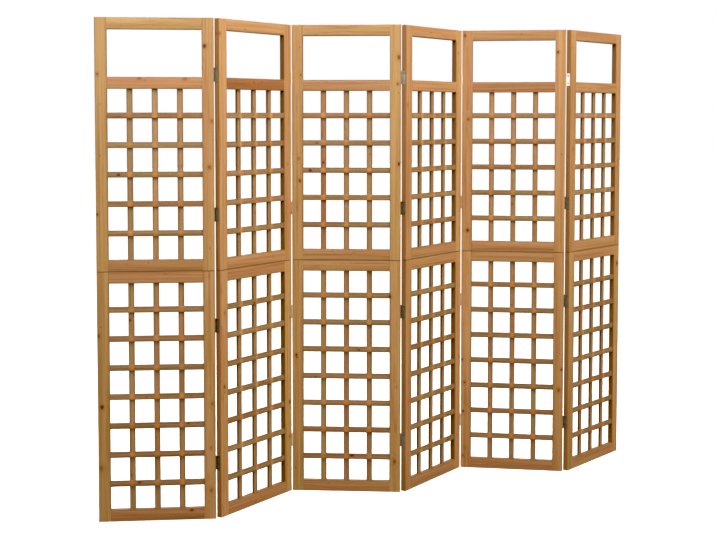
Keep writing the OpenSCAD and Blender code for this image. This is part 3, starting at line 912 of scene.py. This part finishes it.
def knuckle(bm, low, high):
    """The leaf's sheet between two heights, running on past the plate and rolled round the pin."""
    start = 360 - math.degrees(math.acos(LEAF_BACK / KNUCKLE_R))
    inner_start = 360 - math.degrees(math.acos(LEAF_FRONT / BORE_R))
    section = [(LEAF_BACK, -PLATE_TOP, LEAF_FRONT, -PLATE_TOP)]
    for i in range(CURL_STEPS + 1):
        a = math.radians(start + (CURL_END - start) * i / CURL_STEPS)
        b = math.radians(inner_start + (CURL_END - inner_start) * i / CURL_STEPS)
        outer = (KNUCKLE_R * math.cos(a), KNUCKLE_R * math.sin(a))
        inner = (BORE_R * math.cos(b), BORE_R * math.sin(b))
        section.append(outer + inner)
    rings = []
    for ox, oy, ix, iy in section:
        corners = ((ox, oy, low), (ox, oy, high), (ix, iy, high), (ix, iy, low))
        rings.append([bm.verts.new(corner) for corner in corners])
    for a, b in zip(rings, rings[1:]):
        for i in range(4):
            bm.faces.new((a[i], a[(i + 1) % 4], b[(i + 1) % 4], b[i]))
    bm.faces.new(rings[0])
    bm.faces.new(list(reversed(rings[-1])))


def leaf(knuckles):
    def draw(bm):
        plate(bm)
        for low, high in knuckles:
            knuckle(bm, low, high)
    return draw


def turned_piece(bm, profile):
    """A solid of revolution about Z through (radius, height) points, the first and last on the axis."""
    angles = [2 * math.pi * i / ROUND_STEPS for i in range(ROUND_STEPS)]
    rings = [[bm.verts.new((0, 0, profile[0][1]))]]
    for r, z in profile[1:-1]:
        rings.append([bm.verts.new((r * math.cos(a), r * math.sin(a), z)) for a in angles])
    rings.append([bm.verts.new((0, 0, profile[-1][1]))])
    for a, b in zip(rings, rings[1:]):
        for i in range(ROUND_STEPS):
            j = (i + 1) % ROUND_STEPS
            corners = [a[i % len(a)], a[j % len(a)], b[j % len(b)], b[i % len(b)]]
            bm.faces.new(list(dict.fromkeys(corners)))


def pin(bm):
    top, foot = HINGE_H / 2, -HINGE_H / 2
    shank = [(PIN_R * FOOT_TAPER, foot), (PIN_R, foot + FOOT_TAPER_H), (PIN_R, top)]
    head = [(PIN_HEAD_R, top), (PIN_HEAD_R, top + HEAD_STRAIGHT * PIN_HEAD_H)]
    for a in DOME_ANGLES:
        rise = HEAD_STRAIGHT + (1 - HEAD_STRAIGHT) * math.sin(a)
        head.append((PIN_HEAD_R * math.cos(a), top + PIN_HEAD_H * rise))
    turned_piece(bm, [(0, foot)] + shank + head + [(0, top + PIN_HEAD_H)])


def hinge_pieces(k, side, name, draw):
    """Draws one kind of hinge piece at all the hinges on an edge of panel k."""
    fold = k if side > 0 else k - 1
    bm = bmesh.new()
    plating = bm.verts.layers.float_vector.new("plating")
    for i, z in enumerate(HINGE_HEIGHTS):
        old = set(bm.verts)
        draw(bm)
        added = [v for v in bm.verts if v not in old]
        # Each point keeps its hinge's painted reflection, its height from the middle, and its brown
        for v in added:
            v[plating] = Vector((PAINTED_REFLECTION_SHARE[(fold, i)], abs(v.co.z) / (HINGE_H / 2), BROWNING[(fold, i)]))
        bmesh.ops.transform(bm, matrix=at_hinge(k, side, z), verts=added)
    bmesh.ops.recalc_face_normals(bm, faces=bm.faces)
    sharp = [e for e in bm.edges if e.is_manifold and e.calc_face_angle() > math.radians(SHARP_TURN)]
    bmesh.ops.bevel(bm, geom=sharp, offset=LEAF_BEVEL, segments=1, affect="EDGES", clamp_overlap=True)
    finish_piece(bm, f"{name}_shown", k, HINGE_STEEL)


# ---------------------------------------------------------------- the screen's pieces
for k in range(1, LAST_PANEL + 1):
    if k < LAST_PANEL:
        hinge_pieces(k, 1, f"panel_{k}_right_leaves", leaf(OUTER_KNUCKLES))
        hinge_pieces(k, 1, f"fold_{k}_pins", pin)
    if k > 1:
        hinge_pieces(k, -1, f"panel_{k}_left_leaves", leaf(MIDDLE_KNUCKLES))

for k in range(1, LAST_PANEL + 1):
    panel_knots = list(KNOTS[k])
    stiles(k, panel_knots)
    rails(k, panel_knots)
    horizontal_slats(k, panel_knots)
    vertical_slats(k, panel_knots)

# The frame's own dowels and screws stay
for name, node in frame["nodes"].items():
    if not node.hide_render:
        node.data.materials.clear()
        node.data.materials.append(DOWEL_WOOD if name.endswith("dowels") else SCREW_STEEL)


# ---------------------------------------------------------------- floor, light and camera
FLOOR_SIZE = 60
FLOOR_COLOUR = rgb(0.95, 0.95, 0.95)
FLOOR_ROUGHNESS = 0.9
FLOOR_SPECULAR = 0.1
# The floor glows, as painted light, bringing the far floor up to the plain white behind it: where that begins
# and ends, from the middle, and how strongly the floor glows there
GLOW_FROM, GLOW_TO = 1.5, 6.0
NEAR_GLOW, FAR_GLOW = 0.50, 0.95

# Soft light from all round: where it is strongest, its colour and its strength on the far and the near side
SKY_FROM = Vector((0.05, -0.8, 0.6))
SKY_COLOUR = rgb(1.0, 0.84, 0.66)
SKY_BAND = (-0.7, 1.0)
SKY_STRENGTH = (0.12, 0.42)

# Each lamp's place, the point that it faces, its size, and its power. One stands to either side, so that panels
# facing left and right are lit alike all along the screen
LAMPS = {
    "left_light": ((-3.0, -3.3, 3.0), (0, 0, 1.4), (1.6, 1.0), 63),
    "right_light": ((3.0, -3.3, 3.0), (0, 0, 1.4), (1.6, 1.0), 102),
    "top_light": ((0, -1.7, 3.5), (0, 0, 1.2), (4.6, 0.8), 88),
    "back_light": ((0.4, 1.7, 2.9), (0.2, 0, 1.3), (4.5, 1.2), 130),
}
LAMP_COLOUR = (1.0, 1.0, 1.0)

# Camera, set where the photograph was taken from: place, turn and dip found from the edges measured in it
CAMERA_PLACE = (-2.2232, -4.4350, 1.4547)
CAMERA_TURN = 25.268
CAMERA_DIP = 3.070
CAMERA_ROLL = 0.025
CAMERA_FOCAL_PX = 1277.3
CAMERA_SHIFT_Y = -0.12
PHOTO_W = 716
SENSOR_W = 36.0

# How far the darkest tones are drawn down, as in the photograph
BLACK_LEVEL = 0.028


def floor():
    bpy.ops.mesh.primitive_plane_add(size=FLOOR_SIZE, location=(0, 0, 0))
    plane = bpy.context.object
    plane.name = "floor"
    material, n, shader = new_material("floor")
    shader.inputs["Base Color"].default_value = FLOOR_COLOUR
    shader.inputs["Roughness"].default_value = FLOOR_ROUGHNESS
    shader.inputs["Specular IOR Level"].default_value = FLOOR_SPECULAR
    shader.inputs["Emission Color"].default_value = WHITE
    away = n.vector("LENGTH", n.coordinate("Object"))
    glow = n.band(away, GLOW_FROM, GLOW_TO, NEAR_GLOW, FAR_GLOW)
    n.link(glow, shader.inputs["Emission Strength"])
    plane.data.materials.append(material)
    # Its bounce would light the panels' feet as brightly as their tops
    plane.visible_diffuse = False
    plane.visible_glossy = False


def sky():
    """Soft light from all round, strongest from the front and above; the camera sees plain white."""
    world = bpy.data.worlds.new("studio")
    bpy.context.scene.world = world
    world.use_nodes = True
    n = Nodes(world.node_tree)
    out = n.add("ShaderNodeOutputWorld")
    facing = n.vector("DOT_PRODUCT", n.coordinate("Generated"), SKY_FROM.normalized())
    light = n.add("ShaderNodeBackground")
    light.inputs["Color"].default_value = SKY_COLOUR
    n.link(n.band(facing, *SKY_BAND, *SKY_STRENGTH), light.inputs["Strength"])
    white = n.add("ShaderNodeBackground")
    white.inputs["Color"].default_value = WHITE
    pick = n.add("ShaderNodeMixShader")
    n.link(n.add("ShaderNodeLightPath").outputs["Is Camera Ray"], pick.inputs[0])
    n.link(light.outputs[0], pick.inputs[1])
    n.link(white.outputs[0], pick.inputs[2])
    n.link(pick.outputs[0], out.inputs[0])


def lamp(name, place, target, size, power):
    data = bpy.data.lights.new(name, "AREA")
    data.shape = "RECTANGLE"
    data.size, data.size_y = size
    data.energy = power
    data.color = LAMP_COLOUR
    light = bpy.data.objects.new(name, data)
    bpy.context.scene.collection.objects.link(light)
    light.location = place
    light.rotation_euler = (Vector(target) - Vector(place)).to_track_quat("-Z", "Y").to_euler()
    light.visible_camera = False


def camera():
    data = bpy.data.cameras.new("camera")
    data.sensor_fit = "HORIZONTAL"
    data.sensor_width = SENSOR_W
    data.lens = SENSOR_W * CAMERA_FOCAL_PX / PHOTO_W
    data.shift_y = CAMERA_SHIFT_Y
    lens = bpy.data.objects.new("camera", data)
    bpy.context.scene.collection.objects.link(lens)
    turn = Matrix.Rotation(-math.radians(CAMERA_TURN), 4, "Z")
    dip = Matrix.Rotation(math.radians(90 - CAMERA_DIP), 4, "X")
    roll = Matrix.Rotation(math.radians(CAMERA_ROLL), 4, "Z")
    lens.matrix_world = Matrix.Translation(CAMERA_PLACE) @ turn @ dip @ roll
    bpy.context.scene.camera = lens


def grade():
    """Plain display colours, with only the black level set."""
    view = bpy.context.scene.view_settings
    view.view_transform = "Standard"
    view.use_curve_mapping = True
    view.curve_mapping.black_level = (BLACK_LEVEL, BLACK_LEVEL, BLACK_LEVEL)
    view.curve_mapping.update()


floor()
sky()
for name, (place, target, size, power) in LAMPS.items():
    lamp(name, place, target, size, power)
camera()
grade()
